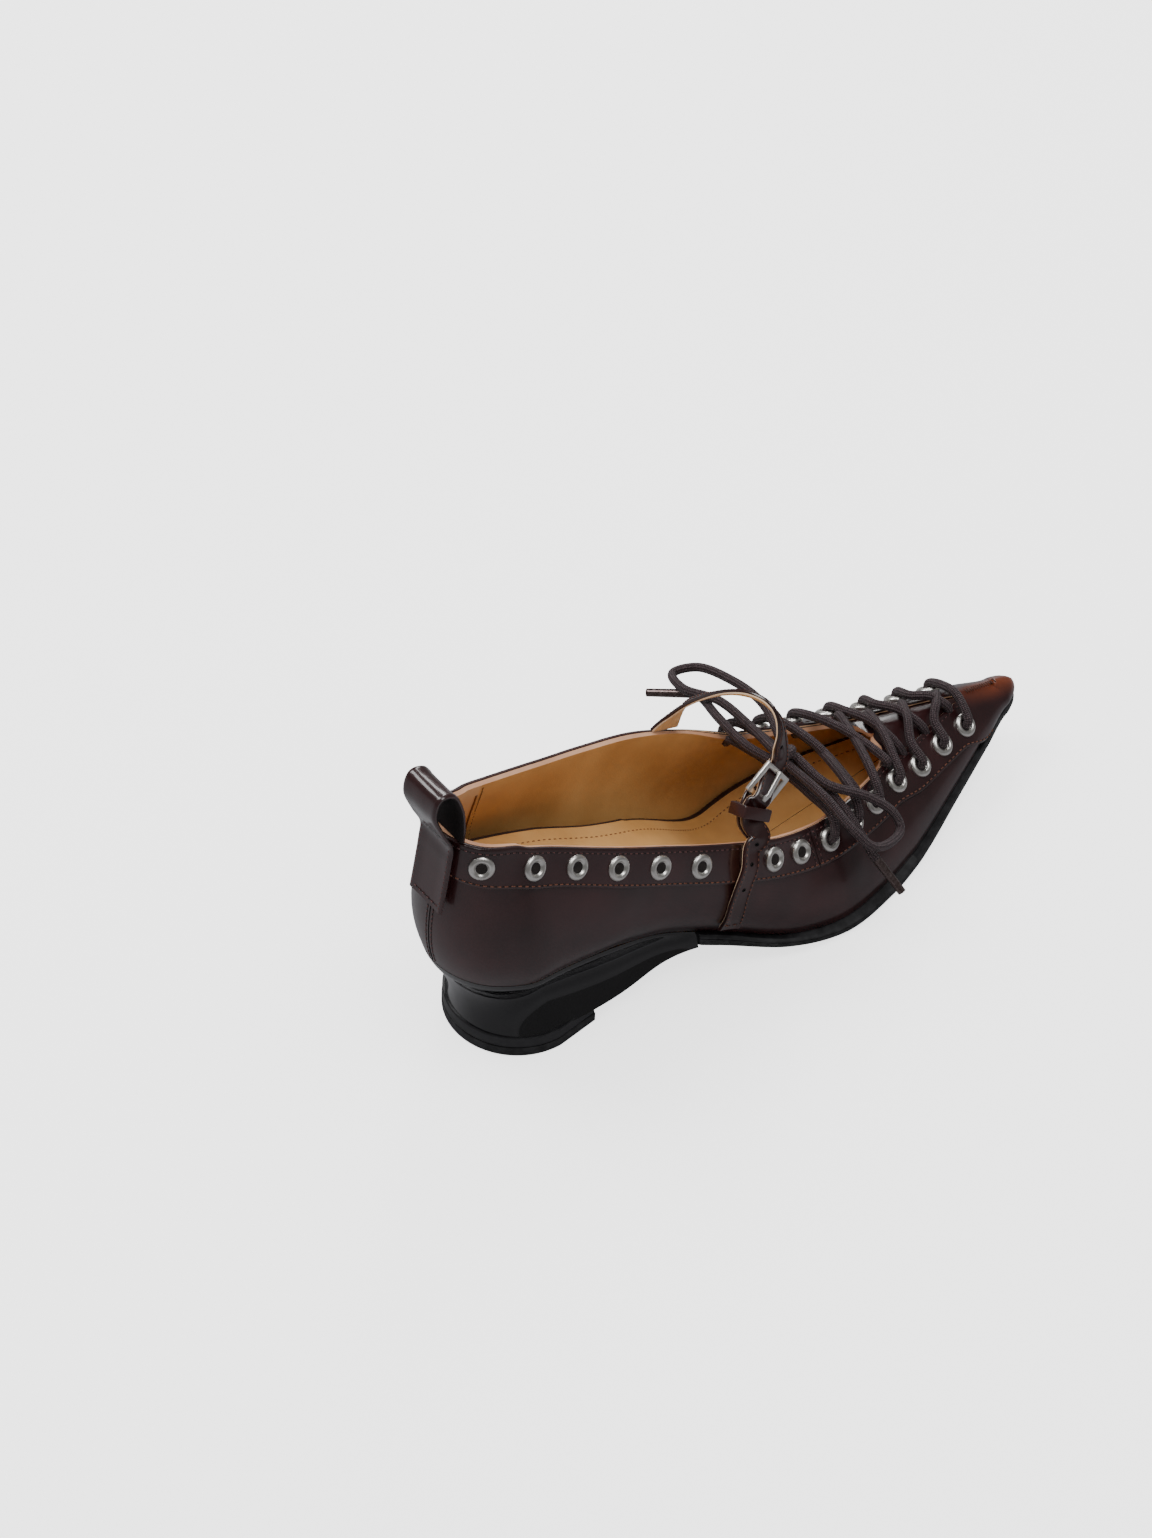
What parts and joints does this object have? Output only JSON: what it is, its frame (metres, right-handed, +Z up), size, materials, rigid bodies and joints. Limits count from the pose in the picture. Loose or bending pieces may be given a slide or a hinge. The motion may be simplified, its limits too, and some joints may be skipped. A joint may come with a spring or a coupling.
{
  "type": "lace up heel",
  "caption": "Right pointed-toe leather heel with laced throat and bow, eyelet band round the collar, buckled instep strap, back pull loop, rubber sole and glossy sculpted heel.",
  "frame": {"origin": "on the floor, under the middle of the round base of the heel", "axes": "+X runs to the toe, +Y to the inner side of the foot, +Z up"},
  "size_m": [0.2839, 0.1211, 0.1351],
  "materials": {
    "upper_leather": "polished",
    "band_leather": "polished",
    "strap_leather": "polished",
    "lining_leather": "satin",
    "sole_rubber": "matte",
    "gloss_heel": "gloss",
    "nickel": "polished",
    "dark_metal": "satin",
    "lace_cord": "waxed"
  },
  "bodies": {
    "root": {"aglet_far": "dark_metal", "aglet_near": "dark_metal", "buckle_frame": "nickel", "buckle_prong": "nickel", "buckle_tab": "strap_leather", "collar_band": "band_leather", "eyelet_collar_inner_1": "nickel", "eyelet_collar_inner_2": "nickel", "eyelet_collar_inner_3": "nickel", "eyelet_collar_inner_4": "nickel", "eyelet_collar_inner_5": "nickel", "eyelet_collar_inner_6": "nickel", "eyelet_collar_outer_1": "nickel", "eyelet_collar_outer_2": "nickel", "eyelet_collar_outer_3": "nickel", "eyelet_collar_outer_4": "nickel", "eyelet_collar_outer_5": "nickel", "eyelet_collar_outer_6": "nickel", "eyelet_front_inner_1": "nickel", "eyelet_front_inner_2": "nickel", "eyelet_front_outer_1": "nickel", "eyelet_front_outer_2": "nickel", "eyelet_lace_inner_1": "nickel", "eyelet_lace_inner_2": "nickel", "eyelet_lace_inner_3": "nickel", "eyelet_lace_inner_4": "nickel", "eyelet_lace_inner_5": "nickel", "eyelet_lace_inner_6": "nickel", "eyelet_lace_inner_7": "nickel", "eyelet_lace_outer_1": "nickel", "eyelet_lace_outer_2": "nickel", "eyelet_lace_outer_3": "nickel", "eyelet_lace_outer_4": "nickel", "eyelet_lace_outer_5": "nickel", "eyelet_lace_outer_6": "nickel", "eyelet_lace_outer_7": "nickel", "facing": "band_leather", "heel": "gloss_heel", "insole": "lining_leather", "keeper": "strap_leather", "lace_bar": "lace_cord", "lace_cross_1": "lace_cord", "lace_cross_2": "lace_cord", "lace_cross_3": "lace_cord", "lace_cross_4": "lace_cord", "lace_cross_5": "lace_cord", "lace_cross_6": "lace_cord", "lace_end_far": "lace_cord", "lace_end_near": "lace_cord", "lace_knot": "lace_cord", "lace_loop_far": "lace_cord", "lace_loop_near": "lace_cord", "lace_rise": "lace_cord", "outsole": "sole_rubber", "pull_loop": "band_leather", "strap": "strap_leather", "top_lift": "sole_rubber", "upper": "upper_leather"}
  },
  "joints": []
}
